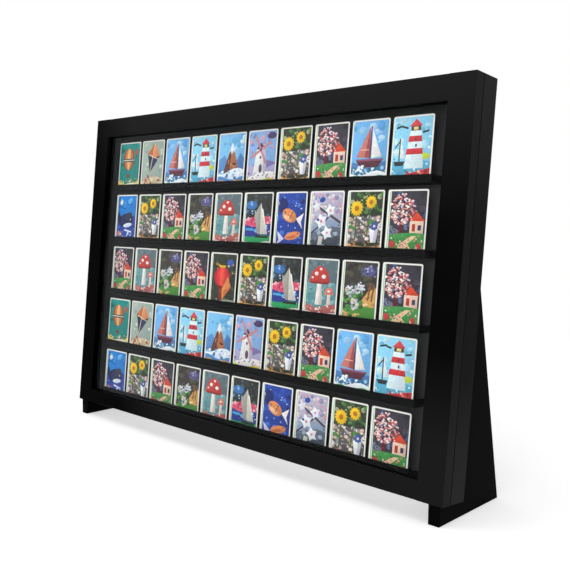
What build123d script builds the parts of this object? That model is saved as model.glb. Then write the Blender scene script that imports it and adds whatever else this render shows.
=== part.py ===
from build123d import *

import os
from math import cos, radians, sin, tan

# A display case for fifty trading cards. A shallow case leans back on two legs, a glazed door
# covers its front, and the cards stand in five grooved ledges on the back panel.
#
# Millimetres. X is the width, Y the depth with the front towards -Y, and Z is up from the surface
# that the legs stand on. Everything but the legs is laid out on the leaning front face of the
# door: u runs along the width from the middle, v up the face from its bottom edge, and w back
# from the face.

# ---------------------------------------------------------------- driving dimensions

width = 806
height = 548
lean = 5.3                  # degrees that the case leans back
front_lift = 28             # from the table up to the front bottom edge

card_width = 63.5
card_height = 88.9
card_thickness = 0.4
card_corner = 2             # cut off each corner
card_pitch = 69.4
cards_per_row = 10
rows_shift = -10            # the middle of the rows from the middle of the case

eased_edge = 0.8            # taken off the outer edges of the painted boards

door_thickness = 19
door_gap = 0.5              # between the closed door and the case
stile_width = 38
top_rail_width = 34
bottom_rail_width = 25
glazing_thickness = 3
glazing_front = 6           # from the door's face to the glazing, which is the rabbet's front
glazing_lap = 6             # how far the glazing runs in behind the frame
glazing_play = 0.5
tenon_length = 10
tenon_front = 9
tenon_thickness = 5
tenon_shoulder = 5

case_back = 54
board = 13                  # sides, top and bottom
board_housing = 6           # how far the top and the bottom run into the sides
panel_thickness = 5
panel_housing = 8           # how far the back panel runs over the boards' edges
panel_play = 0.5

ledge_count = 5
ledge_pitch = 100
ledge_front = 20.5
ledge_base = 2.6            # wood below the groove
ledge_overhang = 4          # past the last card of a row
lip_thickness = 2.5
lip_height = 8.5            # from the groove's floor
bottom_lip_height = 15.4
groove_width = 1.2

leg_thickness = 17
leg_inset = 5.5             # from the case's side to the leg's outer face
leg_front = 3.5
leg_back = 158
leg_back_slope = 0.228      # forward per millimetre up
leg_top = 290               # along the case's back

hinge_length = 50
hinge_inset = 70            # from the door's ends to the hinges' middles
knuckle_count = 3
knuckle_radius = 2.6
knuckle_gap = 0.2
barrel_gap = 0.2            # between the barrel and the case's side
pin_radius = 1.2
pin_clearance = 0.05
pin_head_radius = 2.2
pin_head_height = 1.2
leaf_thickness = 1.0
case_leaf_width = 12
door_leaf_width = 16
leaf_bite = 1.0             # how far a leaf runs into its knuckles

catch_width = 7
catch_length = 22
magnet_depth = 4
strike_depth = 1.5
catch_inset = 60

# ---------------------------------------------------------------- worked-out places

side = width / 2
inner_side = side - board
case_front = door_thickness + door_gap
panel_front = case_back - panel_thickness
opening_side = side - stile_width
opening_low = bottom_rail_width
opening_high = height - top_rail_width
rabbet_side = opening_side + glazing_lap
rabbet_low = opening_low - glazing_lap
rabbet_high = opening_high + glazing_lap
stop_front = glazing_front + glazing_thickness

groove_front = ledge_front + lip_thickness
groove_back = groove_front + groove_width
row_half = (cards_per_row - 1) * card_pitch / 2 + card_width / 2
ledge_floors = [board + ledge_base + ledge_pitch * tier for tier in reversed(range(ledge_count))]

barrel_radius = knuckle_radius
barrel_u = -side - barrel_gap - barrel_radius
barrel_w = door_thickness + door_gap / 2
overhang = barrel_gap + 2 * barrel_radius
case_x = overhang / 2
case_y = -leg_back / 2

# ---------------------------------------------------------------- planes and small helpers

across = Vector(1, 0, 0)
back = Vector(0, cos(radians(lean)), -sin(radians(lean)))
up = Vector(0, sin(radians(lean)), cos(radians(lean)))
corner = Vector(case_x, case_y, front_lift)

face = Plane(origin=corner, x_dir=across, z_dir=-back)     # drawn in u, v
end = Plane(origin=corner, x_dir=back, z_dir=across)       # drawn in w, v
plan = Plane(origin=corner, x_dir=across, z_dir=up)        # drawn in u, w


def at(u, v, w):
    """The point u along the width, v up the leaning face and w back from it."""
    return corner + across * u + up * v + back * w


def finish(piece, name):
    """Labels the piece and writes it to its own file."""
    piece.label = name
    export_step(piece, f"parts/{name}.step")


def block(left, right, low, high, near, far):
    """A rectangular board between two widths, two heights and two depths."""
    with BuildPart() as piece:
        with BuildSketch(face.offset(-near)):
            with Locations(((left + right) / 2, (low + high) / 2)):
                Rectangle(right - left, high - low)
        extrude(amount=near - far)
    return piece.part


def prism(drawing_plane, outline, length):
    """A closed outline run along its drawing plane's normal."""
    with BuildPart() as piece:
        with BuildSketch(drawing_plane):
            with BuildLine():
                Polyline(*outline, close=True)
            make_face()
        extrude(amount=length)
    return piece.part


def screw(head_radius, shank_radius, length):
    """A countersunk screw, drawn with eight flats: its head's face is at Z 0 and it points down."""
    head_depth = head_radius - shank_radius
    with BuildPart() as piece:
        with BuildSketch():
            RegularPolygon(head_radius, side_count=8)
        with BuildSketch(Plane.XY.offset(-head_depth)):
            RegularPolygon(shank_radius, side_count=8)
        loft()
        with BuildSketch(Plane.XY.offset(-head_depth)):
            RegularPolygon(shank_radius, side_count=8)
        extrude(amount=head_depth - length)
    return piece.part


def repeated(shape, places, outward):
    """Equal shapes in one part, their tops at the places and facing outward."""
    with BuildPart() as group:
        for place in places:
            with Locations(Plane(origin=place, x_dir=across, z_dir=outward).location):
                add(shape)
    return group.part


os.makedirs("parts", exist_ok=True)

# ---------------------------------------------------------------- fasteners

panel_edge_u = inner_side + panel_housing / 2
panel_edge_v = board - panel_housing / 2
panel_screw = screw(head_radius=2.8, shank_radius=1.5, length=20)
panel_screw_places = [
    at(u, v, case_back)
    for u in (-panel_edge_u, panel_edge_u)
    for v in (height * 0.15, height * 0.62, height * 0.88)
] + [
    at(u, v, case_back)
    for u in (-side / 3, side / 3)
    for v in (panel_edge_v, height - panel_edge_v)
]
back_panel_screws = repeated(panel_screw, panel_screw_places, back)

ledge_screw_spacing = row_half * 0.8
ledge_screw_rise = (lip_height - ledge_base) / 2
ledge_screw = screw(head_radius=2.8, shank_radius=1.5, length=24)
ledge_screw_places = [
    at(rows_shift + u, floor + ledge_screw_rise, case_back)
    for floor in ledge_floors
    for u in (-ledge_screw_spacing, 0, ledge_screw_spacing)
]
shelf_screws = repeated(ledge_screw, ledge_screw_places, back)

# One screw goes in from the back of each leg, and one up through its foot. Both heads are sunk.
leg_screw_u = side - leg_inset - 4
leg_screw_upper_v = 245
leg_screw_head_w = 66
leg_screw_lower_w = 27
leg_screw_head_v = -14
leg_screw_head = 3.4
leg_screw_sides = (-leg_screw_u, leg_screw_u)
leg_screw = screw(head_radius=leg_screw_head, shank_radius=1.75, length=35)
with BuildPart() as leg_screws:
    add(repeated(leg_screw, [at(u, leg_screw_upper_v, leg_screw_head_w) for u in leg_screw_sides], back))
    add(repeated(leg_screw, [at(u, leg_screw_head_v, leg_screw_lower_w) for u in leg_screw_sides], -up))

hinge_middles = (height - hinge_inset, hinge_inset)
hinge_screw_offset = hinge_length * 0.3
hinge_screw = screw(head_radius=2.3, shank_radius=1.2, length=13)
hinge_screw_heights = [
    middle + offset for middle in hinge_middles for offset in (-hinge_screw_offset, hinge_screw_offset)
]
case_leaf_screw_u = -side + case_leaf_width / 2
door_leaf_screw_u = -side + door_leaf_width / 2
hinge_case_screws = repeated(
    hinge_screw, [at(case_leaf_screw_u, v, case_front) for v in hinge_screw_heights], -back
)
hinge_door_screws = repeated(
    hinge_screw, [at(door_leaf_screw_u, v, door_thickness) for v in hinge_screw_heights], back
)

# Square brads go through the stops and into the frame, square to the opening's edges.
brad_side = 1.2
brad_length = 14
brad_w = (stop_front + door_thickness) / 2
brad_grip = opening_side + brad_length / 2
brads_across = [opening_side * share for share in (-0.8, 0, 0.8)]
brads_up = [opening_low + (opening_high - opening_low) * share for share in (0.2, 0.8)]
with BuildPart() as stop_brads:
    with BuildSketch(face.offset(-brad_w - brad_side / 2)):
        with Locations([(u, opening_high + brad_length / 2) for u in brads_across]):
            Rectangle(brad_side, brad_length)
        with Locations([(u, opening_low - brad_length / 2) for u in brads_across]):
            Rectangle(brad_side, brad_length)
        with Locations([(u, v) for u in (-brad_grip, brad_grip) for v in brads_up]):
            Rectangle(brad_length, brad_side)
    extrude(amount=brad_side)

finish(back_panel_screws, "back_panel_screws")
finish(shelf_screws, "shelf_screws")
finish(leg_screws.part, "leg_screws")
finish(hinge_case_screws, "hinge_case_screws")
finish(hinge_door_screws, "hinge_door_screws")
finish(stop_brads.part, "stop_brads")

# ---------------------------------------------------------------- catch

catch_u = side - board / 2
catch_heights = (catch_inset, height - catch_inset)
contact_w = door_thickness + door_gap / 2


def catch_bars(near, far):
    """Two upright bars, one at each catch, between two depths."""
    with BuildPart() as pair:
        with BuildSketch(face.offset(-near)):
            with Locations([(catch_u, v) for v in catch_heights]):
                Rectangle(catch_width, catch_length)
        extrude(amount=near - far)
    return pair.part


catch_magnets = catch_bars(contact_w, contact_w + magnet_depth)
strike_plates = catch_bars(contact_w - strike_depth, contact_w)
finish(catch_magnets, "catch_magnets")
finish(strike_plates, "strike_plates")

# ---------------------------------------------------------------- hinges

knuckle_length = hinge_length / knuckle_count
bore_radius = pin_radius + pin_clearance


def knuckle_bottoms(middle, first):
    """The lower ends of every other knuckle of a hinge, counted from the bottom."""
    bottom = middle - hinge_length / 2
    return [bottom + knuckle_length * index for index in range(first, knuckle_count, 2)]


def leaf(middle, near, far, leaf_width, first):
    """A hinge leaf: its flat plate and every other knuckle round the pin."""
    with BuildPart() as piece:
        add(block(-side, -side + leaf_width, middle - hinge_length / 2, middle + hinge_length / 2, near, far))
        for bottom in knuckle_bottoms(middle, first):
            low = bottom + knuckle_gap / 2
            high = bottom + knuckle_length - knuckle_gap / 2
            root = barrel_u + barrel_radius - leaf_bite
            add(block(root, -side, low, high, near, far))
            with BuildSketch(plan.offset(low)):
                with Locations((barrel_u, barrel_w)):
                    Circle(barrel_radius)
            extrude(amount=high - low)
        with BuildSketch(plan.offset(middle - hinge_length / 2)):
            with Locations((barrel_u, barrel_w)):
                Circle(bore_radius)
        extrude(amount=hinge_length, mode=Mode.SUBTRACT)
        add(hinge_case_screws, mode=Mode.SUBTRACT)
        add(hinge_door_screws, mode=Mode.SUBTRACT)
    return piece.part


def pin(middle):
    """The hinge pin, with a head against each end of the barrel."""
    barrel_bottom = middle - hinge_length / 2 + knuckle_gap / 2
    barrel_length = hinge_length - knuckle_gap
    with BuildPart() as piece:
        with BuildSketch(plan.offset(barrel_bottom)):
            with Locations((barrel_u, barrel_w)):
                Circle(pin_radius)
        extrude(amount=barrel_length)
        for level, direction in ((barrel_bottom, -1), (barrel_bottom + barrel_length, 1)):
            with BuildSketch(plan.offset(level)):
                with Locations((barrel_u, barrel_w)):
                    Circle(pin_head_radius)
            extrude(amount=direction * pin_head_height)
    return piece.part


for hinge_name, middle in zip(("upper", "lower"), hinge_middles):
    case_leaf = leaf(middle, case_front, case_front + leaf_thickness, case_leaf_width, first=0)
    door_leaf = leaf(middle, door_thickness - leaf_thickness, door_thickness, door_leaf_width, first=1)
    finish(case_leaf, f"{hinge_name}_hinge_case_leaf")
    finish(door_leaf, f"{hinge_name}_hinge_door_leaf")
    finish(pin(middle), f"{hinge_name}_hinge_pin")


def leaf_recesses(near, far, leaf_width):
    """The pockets that let the two leaves in flush."""
    with BuildPart() as pockets:
        for middle in hinge_middles:
            low = middle - hinge_length / 2
            add(block(-side, -side + leaf_width, low, low + hinge_length, near, far))
    return pockets.part


# ---------------------------------------------------------------- case

def case_side(hand):
    """A side board with its inner face rabbeted for the top, the bottom and the back panel."""
    inner = hand * inner_side
    outer = hand * side
    housed = hand * (inner_side + board_housing)
    covered = hand * (inner_side + panel_housing)
    section = (
        (inner, case_front),
        (outer, case_front),
        (outer, case_back - eased_edge),
        (outer - hand * eased_edge, case_back),
        (inner, case_back),
    )
    with BuildPart() as piece:
        add(prism(plan, section, height))
        for low, high in ((0, board), (height - board, height)):
            notch = block(min(inner, housed), max(inner, housed), low, high, case_front, case_back)
            add(notch, mode=Mode.SUBTRACT)
        rabbet = block(
            min(inner, covered),
            max(inner, covered),
            board - panel_housing,
            height - board + panel_housing,
            panel_front,
            case_back,
        )
        add(rabbet, mode=Mode.SUBTRACT)
        add(back_panel_screws, mode=Mode.SUBTRACT)
        add(leg_screws.part, mode=Mode.SUBTRACT)
        if hand < 0:
            add(leaf_recesses(case_front, case_front + leaf_thickness, case_leaf_width), mode=Mode.SUBTRACT)
            add(hinge_case_screws, mode=Mode.SUBTRACT)
        else:
            add(catch_magnets, mode=Mode.SUBTRACT)
    return piece.part


def case_cross_board(outer, inward):
    """The top or the bottom board, rabbeted along its inner back edge for the panel."""
    inner = outer + inward * board
    panel_edge = inner - inward * panel_housing
    section = (
        (case_front, outer),
        (case_back - eased_edge, outer),
        (case_back, outer + inward * eased_edge),
        (case_back, panel_edge),
        (panel_front, panel_edge),
        (panel_front, inner),
        (case_front, inner),
    )
    reach = inner_side + board_housing
    with BuildPart() as piece:
        add(prism(end.offset(-reach), section, 2 * reach))
        add(back_panel_screws, mode=Mode.SUBTRACT)
        add(leg_screws.part, mode=Mode.SUBTRACT)
    return piece.part


finish(case_side(-1), "case_left_side")
finish(case_side(1), "case_right_side")
finish(case_cross_board(height, inward=-1), "case_top")
finish(case_cross_board(0, inward=1), "case_bottom")

panel_side = inner_side + panel_housing - panel_play
panel_low = board - panel_housing + panel_play
with BuildPart() as back_panel:
    add(block(-panel_side, panel_side, panel_low, height - panel_low, panel_front, case_back))
    for screws in (back_panel_screws, shelf_screws, leg_screws.part):
        add(screws, mode=Mode.SUBTRACT)
finish(back_panel.part, "back_panel")

# ---------------------------------------------------------------- ledges and cards

def ledge(floor, lip):
    """A ledge whose groove holds the cards' bottom edges behind a thin lip."""
    low = floor - ledge_base
    high = floor + lip_height
    outline = (
        (ledge_front, low),
        (panel_front, low),
        (panel_front, high),
        (groove_back, high),
        (groove_back, floor),
        (groove_front, floor),
        (groove_front, floor + lip),
        (ledge_front, floor + lip),
    )
    reach = row_half + ledge_overhang
    with BuildPart() as piece:
        add(prism(end.offset(rows_shift - reach), outline, 2 * reach))
        add(shelf_screws, mode=Mode.SUBTRACT)
    return piece.part


def card_row(floor):
    """Ten cards side by side, standing on the groove's floor and against its back wall."""
    columns = [rows_shift + card_pitch * (index - (cards_per_row - 1) / 2) for index in range(cards_per_row)]
    with BuildPart() as row:
        with BuildSketch(face.offset(card_thickness - groove_back)) as row_outline:
            with Locations([(u, floor + card_height / 2) for u in columns]):
                Rectangle(card_width, card_height)
            chamfer(row_outline.vertices(), card_corner)
        extrude(amount=-card_thickness)
    return row.part


for tier, floor in enumerate(ledge_floors, start=1):
    lip = bottom_lip_height if tier == ledge_count else lip_height
    finish(ledge(floor, lip), f"shelf_{tier}")
    finish(card_row(floor), f"card_row_{tier}")

# ---------------------------------------------------------------- legs

def leg(hand):
    """A leg: a foot under the case and a brace up its back, its rear edge straight and slanted."""
    inner = hand * (side - leg_inset - leg_thickness)
    outer = hand * (side - leg_inset)
    seat_front = front_lift - leg_front * tan(radians(lean))
    heel = at(0, 0, case_back)
    nose = at(0, leg_top, case_back)
    # The slanted rear edge passes through the point leg_back on the table. Where the blunt top of
    # the leg meets it, the run back from the nose along w satisfies the edge's own equation.
    nose_y = nose.Y - case_y
    blunt = (leg_back - leg_back_slope * nose.Z - nose_y) / (back.Y + leg_back_slope * back.Z)
    tip = nose + back * blunt
    outline = (
        (case_y + leg_front, 0),
        (case_y + leg_front, seat_front),
        (heel.Y, heel.Z),
        (nose.Y, nose.Z),
        (tip.Y, tip.Z),
        (case_y + leg_back, 0),
    )
    leg_side = Plane.YZ.offset(case_x + min(inner, outer))
    head_hole = leg_screw_head + 0.6
    head_hole_depth = 40
    with BuildPart() as piece:
        add(prism(leg_side, outline, leg_thickness))
        broad_faces = piece.faces().filter_by(Axis.X)
        chamfer(broad_faces.edges(), eased_edge)
        with BuildSketch(face.offset(-leg_screw_head_w)):
            with Locations((hand * leg_screw_u, leg_screw_upper_v)):
                Circle(head_hole)
        extrude(amount=-head_hole_depth, mode=Mode.SUBTRACT)
        with BuildSketch(plan.offset(leg_screw_head_v)):
            with Locations((hand * leg_screw_u, leg_screw_lower_w)):
                Circle(head_hole)
        extrude(amount=-head_hole_depth, mode=Mode.SUBTRACT)
        add(leg_screws.part, mode=Mode.SUBTRACT)
    return piece.part


finish(leg(-1), "left_leg")
finish(leg(1), "right_leg")

# ---------------------------------------------------------------- door

def door_stile(hand):
    """A full-height stile, rabbeted behind its inner edge and mortised for the rails."""
    inner = hand * opening_side
    outer = hand * side
    rabbet = hand * rabbet_side
    section = (
        (inner, 0),
        (outer - hand * eased_edge, 0),
        (outer, eased_edge),
        (outer, door_thickness),
        (rabbet, door_thickness),
        (rabbet, glazing_front),
        (inner, glazing_front),
    )
    with BuildPart() as piece:
        add(prism(plan, section, height))
        for tenon in tenons:
            add(tenon, mode=Mode.SUBTRACT)
        add(stop_brads.part, mode=Mode.SUBTRACT)
        if hand < 0:
            pockets = leaf_recesses(door_thickness - leaf_thickness, door_thickness, door_leaf_width)
            add(pockets, mode=Mode.SUBTRACT)
            add(hinge_door_screws, mode=Mode.SUBTRACT)
        else:
            add(strike_plates, mode=Mode.SUBTRACT)
    return piece.part


def door_rail(outer, inward, rail_width, tenon):
    """A rail: its face fits between the stiles, and its back half laps into their rabbets."""
    inner = outer + inward * rail_width
    rabbet = inner - inward * glazing_lap
    front_section = (
        (eased_edge, outer),
        (glazing_front, outer),
        (glazing_front, inner),
        (0, inner),
        (0, outer + inward * eased_edge),
    )
    back_section = (
        (glazing_front, outer),
        (door_thickness, outer),
        (door_thickness, rabbet),
        (glazing_front, rabbet),
    )
    with BuildPart() as piece:
        add(prism(end.offset(-opening_side), front_section, 2 * opening_side))
        add(prism(end.offset(-rabbet_side), back_section, 2 * rabbet_side))
        add(tenon)
        add(stop_brads.part, mode=Mode.SUBTRACT)
    return piece.part


def tenon_bar(low, high):
    """The bar whose ends are a rail's two tenons."""
    reach = rabbet_side + tenon_length
    return block(-reach, reach, low, high, tenon_front, tenon_front + tenon_thickness)


top_tenon = tenon_bar(rabbet_high + tenon_shoulder, height - tenon_shoulder)
bottom_tenon = tenon_bar(tenon_shoulder, rabbet_low - tenon_shoulder)
tenons = (top_tenon, bottom_tenon)

finish(door_stile(-1), "door_left_stile")
finish(door_stile(1), "door_right_stile")
finish(door_rail(height, -1, top_rail_width, top_tenon), "door_top_rail")
finish(door_rail(0, 1, bottom_rail_width, bottom_tenon), "door_bottom_rail")

# The glazing stands on the bottom rail's rabbet, with a little play at its sides and its top.
glazing_side = rabbet_side - glazing_play
door_glazing = block(
    -glazing_side, glazing_side, rabbet_low, rabbet_high - glazing_play, glazing_front, stop_front
)
finish(door_glazing, "door_glazing")


def glazing_stop(left, right, low, high):
    """A square stop that fills the rabbet behind the glazing, flush with the opening."""
    with BuildPart() as piece:
        add(block(left, right, low, high, stop_front, door_thickness))
        add(stop_brads.part, mode=Mode.SUBTRACT)
    return piece.part


finish(glazing_stop(-rabbet_side, rabbet_side, opening_high, rabbet_high), "glazing_stop_top")
finish(glazing_stop(-rabbet_side, rabbet_side, rabbet_low, opening_low), "glazing_stop_bottom")
finish(glazing_stop(-rabbet_side, -opening_side, opening_low, opening_high), "glazing_stop_left")
finish(glazing_stop(opening_side, rabbet_side, opening_low, opening_high), "glazing_stop_right")

hinge_point = at(barrel_u, height / 2, barrel_w)
print("door hinge point", hinge_point.X, hinge_point.Y, hinge_point.Z, "axis", -up.X, -up.Y, -up.Z)
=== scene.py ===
"""The looks of a display case for fifty trading cards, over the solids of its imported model.

Metres, Z up, the front towards -Y. Places on the leaning case are given in millimetres, as in the
part's source: u along the width from the middle, v up the leaning face from its bottom edge, and
w back from the face.
"""

import math
import random
from collections import namedtuple

import bmesh
import bpy
from mathutils import Matrix, Vector
from mathutils.geometry import delaunay_2d_cdt


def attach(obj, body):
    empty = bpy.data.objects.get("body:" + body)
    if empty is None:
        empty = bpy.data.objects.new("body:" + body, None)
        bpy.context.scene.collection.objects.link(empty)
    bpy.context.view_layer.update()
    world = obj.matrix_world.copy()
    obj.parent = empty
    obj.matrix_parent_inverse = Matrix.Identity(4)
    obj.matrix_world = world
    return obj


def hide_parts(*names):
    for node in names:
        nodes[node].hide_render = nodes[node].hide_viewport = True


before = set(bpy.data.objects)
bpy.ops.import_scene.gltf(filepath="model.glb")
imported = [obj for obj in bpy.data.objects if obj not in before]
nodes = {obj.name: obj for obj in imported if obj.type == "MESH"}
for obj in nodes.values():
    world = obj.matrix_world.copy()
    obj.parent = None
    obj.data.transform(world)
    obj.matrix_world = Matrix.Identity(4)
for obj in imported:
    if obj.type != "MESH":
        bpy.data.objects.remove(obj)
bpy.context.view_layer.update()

# ---------------------------------------------------------------- the case's dimensions

MM = 0.001

LEAN = math.radians(5.3)
ACROSS = Vector((1, 0, 0))
BACK = Vector((0, math.cos(LEAN), -math.sin(LEAN)))
UP = Vector((0, math.sin(LEAN), math.cos(LEAN)))
CORNER = Vector((2.7, -79, 28)) * MM         # where u, v and w are zero

SIDE = 806 / 2               # from the middle to the case's side
HEIGHT = 548
BOARD = 13
DOOR_THICKNESS = 19
DOOR_GAP = 0.5               # between the closed door and the case
CASE_FRONT = DOOR_THICKNESS + DOOR_GAP
CASE_BACK = 54
PANEL_OVERLAP = 8            # how far the back panel runs over the boards' edges

CARD_WIDTH = 63.5
CARD_HEIGHT = 88.9
CARD_THICKNESS = 0.4
CARD_PITCH = 69.4
CARD_CORNER = 3.0
CARDS_PER_ROW = 10
ROWS_SHIFT = -10             # the middle of the rows from the middle of the case
ROW_HALF = (CARDS_PER_ROW - 1) * CARD_PITCH / 2 + CARD_WIDTH / 2

LEDGE_COUNT = 5
LEDGE_PITCH = 100
LEDGE_BASE = 2.6             # wood below the groove
LIP_HEIGHT = 8.5             # from the groove's floor
GROOVE_BACK = 24.2
CARD_FRONT = GROOVE_BACK - CARD_THICKNESS
LEDGE_FLOORS = [BOARD + LEDGE_BASE + LEDGE_PITCH * tier for tier in reversed(range(LEDGE_COUNT))]


def at(u, v, w):
    """The point u along the width, v up the leaning face and w back from it."""
    return CORNER + (ACROSS * u + UP * v + BACK * w) * MM


# ---------------------------------------------------------------- objects

def add_object(name, data):
    """A new object in the scene."""
    added = bpy.data.objects.new(name, data)
    bpy.context.scene.collection.objects.link(added)
    return added


def add_mesh(name, bm, *materials):
    """A new object made of a bmesh, which it uses up."""
    data = bpy.data.meshes.new(name)
    bm.to_mesh(data)
    bm.free()
    for material in materials:
        data.materials.append(material)
    return add_object(name, data)


def round_trip(count):
    """Each index with the next one, back to the first."""
    return [(i, (i + 1) % count) for i in range(count)]


# ---------------------------------------------------------------- camera

# Fitted to the outlines of the door, the case and the right leg in the photograph.
CAMERA_PLACE = Vector((0.89937, -0.94146, 0.39561))
CAMERA_TURN = math.radians(45.58)
CAMERA_DOWN = math.radians(5.25)
CAMERA_ROLL = math.radians(0.33)
LENS = 49.66
SHIFT = 0.10


def make_camera():
    """The camera at the photograph's viewing angle."""
    data = bpy.data.cameras.new("camera")
    data.lens = LENS
    data.shift_x = SHIFT
    camera = add_object("camera", data)
    camera.matrix_world = (
        Matrix.Translation(CAMERA_PLACE)
        @ Matrix.Rotation(CAMERA_TURN, 4, "Z")
        @ Matrix.Rotation(math.pi / 2 - CAMERA_DOWN, 4, "X")
        @ Matrix.Rotation(CAMERA_ROLL, 4, "Z")
    )
    bpy.context.scene.camera = camera


# ---------------------------------------------------------------- colours and node helpers

# The sockets of a Mix node that mixes colours.
MIX_FACTOR = 0
MIX_FIRST = 6
MIX_SECOND = 7
MIX_RESULT = 2


def linear(code):
    """The linear colour of a six-figure screen colour."""
    parts = [int(code[i:i + 2], 16) / 255 for i in (0, 2, 4)]
    return tuple(p / 12.92 if p <= 0.04045 else ((p + 0.055) / 1.055) ** 2.4 for p in parts) + (1.0,)


class Nodes:
    """The node tree of a material or a world, with short calls to add and join nodes."""

    def __init__(self, owner, output="OutputMaterial"):
        owner.use_nodes = True
        self.owner = owner
        self.tree = owner.node_tree
        self.tree.nodes.clear()
        self.output = self.add(output)

    def put(self, socket, value):
        """Links another socket to this one, or sets its value."""
        if isinstance(value, bpy.types.NodeSocket):
            self.tree.links.new(value, socket)
        else:
            socket.default_value = value

    def add(self, kind, **settings):
        """A node with its sockets and attributes set, by their names with _ for each space."""
        node = self.tree.nodes.new("ShaderNode" + kind)
        for name, value in settings.items():
            socket = node.inputs.get(name.replace("_", " "))
            if socket is None:
                setattr(node, name, value)
            else:
                self.put(socket, value)
        return node

    def fill(self, node, *values):
        """The outputs of a node whose first inputs are set in turn."""
        for socket, value in zip(node.inputs, values):
            self.put(socket, value)
        return node.outputs

    def number_math(self, operation, *values):
        """The result of a Math node."""
        return self.fill(self.add("Math", operation=operation), *values)["Value"]

    def vector_math(self, operation, *values):
        """The outputs of a VectorMath node, named Vector and Value."""
        return self.fill(self.add("VectorMath", operation=operation), *values)

    def place(self):
        """Where a point is in the object's own space."""
        return self.add("TexCoord").outputs["Object"]

    def noise(self, scale, detail=2, stretch=(1, 1, 1)):
        """Noise in the object's own space, in features per metre."""
        place = self.add("Mapping", Vector=self.place(), Scale=stretch).outputs["Vector"]
        return self.add("TexNoise", Vector=place, Scale=scale, Detail=detail).outputs["Fac"]

    def spread(self, value, low, high, start=0.3, end=0.7):
        """A value between start and end, where most noise lies, mapped onto low to high."""
        node = self.add("MapRange", Value=value, From_Min=start, From_Max=end, To_Min=low, To_Max=high)
        return node.outputs["Result"]

    def difference(self, value, other):
        """How far a value is from another, either way."""
        return self.number_math("ABSOLUTE", self.number_math("SUBTRACT", value, other))

    def blend(self, factor, first, second):
        """A colour between two colours."""
        node = self.add("Mix", data_type="RGBA")
        self.put(node.inputs[MIX_FACTOR], factor)
        self.put(node.inputs[MIX_FIRST], first)
        self.put(node.inputs[MIX_SECOND], second)
        return node.outputs[MIX_RESULT]

    def bump(self, height, distance, strength):
        """Normals of a surface that stands up to distance, in metres, where the height is one."""
        return self.add("Bump", Height=height, Distance=distance, Strength=strength).outputs["Normal"]

    def join(self, factor, first, second):
        """A shader between two shaders."""
        return self.fill(self.add("MixShader"), factor, first, second)["Shader"]

    def finish(self, shader):
        """The material or the world, with this shader as its surface."""
        self.put(self.output.inputs["Surface"], shader)
        return self.owner


def material_nodes(name):
    """The empty node tree of a new material."""
    return Nodes(bpy.data.materials.new(name))


# ---------------------------------------------------------------- materials

PAINT_CLOUDS = 9             # features per metre of the mottling and the uneven sheen
SPRAY_SPECKS = 900           # features per metre of the sprayed texture
SPRAY_HEIGHT = 0.06 * MM
SPRAY_STRENGTH = 0.35
PAINT_SMOOTHER = 0.05        # how far the sheen strays from the paint's roughness, both ways
PAINT_ROUGHER = 0.06

RUB_MARKS = 700              # features per metre of the marks on metal
RUB_HEIGHT = 0.03 * MM
RUB_STRENGTH = 0.3
RUB_COLOUR = (0.02, 0.02, 0.02, 1)
RUB_SHARE = 0.35             # how much of that colour the marks take
METAL_SMOOTHER = 0.06
METAL_ROUGHER = 0.08

CLEAR = (0.985, 0.99, 0.992, 1)
REFLECTED = (0.92, 0.96, 1, 1)
LOW_GLARE_INDEX = 1.10       # below acrylic's own, so that it mirrors only faintly
GLAZING_ROUGHNESS = 0.02

MOTTLE = 1.1                 # how unevenly the pictures are inked
MOTTLE_SPECKS = 260          # features per metre
CARD_CLOUDS = 60             # features per metre of the cards' uneven sheen
CARD_SMOOTHEST = 0.36
CARD_ROUGHEST = 0.46
CARD_GLOSS = 0.3

# A band of another colour in the paint, across a direction: where its middle is along that way, how
# far it reaches on both sides, how much of that it fades over, how strong it is, and its colour.
# On the door and the case these bands are painted reflections, highlights and shade; on the panel, its
# darker rear.
Tone = namedtuple("Tone", "direction middle reach fade strength colour")


def painted_wood(name, colour, lighter, roughness, gloss, tones=()):
    """Satin black paint on fine fibreboard: faint mottling, uneven sheen, sprayed texture, and any tones:
    bands that on the door and the case are painted light and shade.
    """
    n = material_nodes(name)
    cloud = n.noise(PAINT_CLOUDS, detail=3)
    paint = n.blend(n.spread(cloud, 0, 1), linear(colour), linear(lighter))
    # bands of other colours laid over the paint: on the door and the case, painted light and shade
    for tone in tones:
        along = n.vector_math("DOT_PRODUCT", n.place(), tone.direction)["Value"]
        away = n.difference(along, tone.middle)
        share = n.spread(away, tone.strength, 0, tone.reach - tone.fade, tone.reach)
        paint = n.blend(share, paint, linear(tone.colour))
    shader = n.add(
        "BsdfPrincipled",
        Base_Color=paint,
        Roughness=n.spread(cloud, roughness - PAINT_SMOOTHER, roughness + PAINT_ROUGHER),
        Specular_IOR_Level=gloss,
        Normal=n.bump(n.noise(SPRAY_SPECKS), SPRAY_HEIGHT, SPRAY_STRENGTH),
    )
    return n.finish(shader.outputs["BSDF"])


def metal(name, colour, roughness, stretch=(1, 1, 1)):
    """Metal with fine rubbing marks, which a stretch draws out along one way."""
    n = material_nodes(name)
    marks = n.noise(RUB_MARKS, detail=3, stretch=stretch)
    shader = n.add(
        "BsdfPrincipled",
        Base_Color=n.blend(n.spread(marks, 0, RUB_SHARE), linear(colour), RUB_COLOUR),
        Metallic=1,
        Roughness=n.spread(marks, roughness - METAL_SMOOTHER, roughness + METAL_ROUGHER),
        Normal=n.bump(marks, RUB_HEIGHT, RUB_STRENGTH),
    )
    return n.finish(shader.outputs["BSDF"])


def glazing_material():
    """Clear low-glare acrylic: the view through it, and a faint mirror over that."""
    n = material_nodes("glazing")
    view = n.add("BsdfTransparent", Color=CLEAR).outputs["BSDF"]
    mirror = n.add("BsdfGlossy", Color=REFLECTED, Roughness=GLAZING_ROUGHNESS).outputs["BSDF"]
    return n.finish(n.join(n.add("Fresnel", IOR=LOW_GLARE_INDEX).outputs["Fac"], view, mirror))


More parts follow.
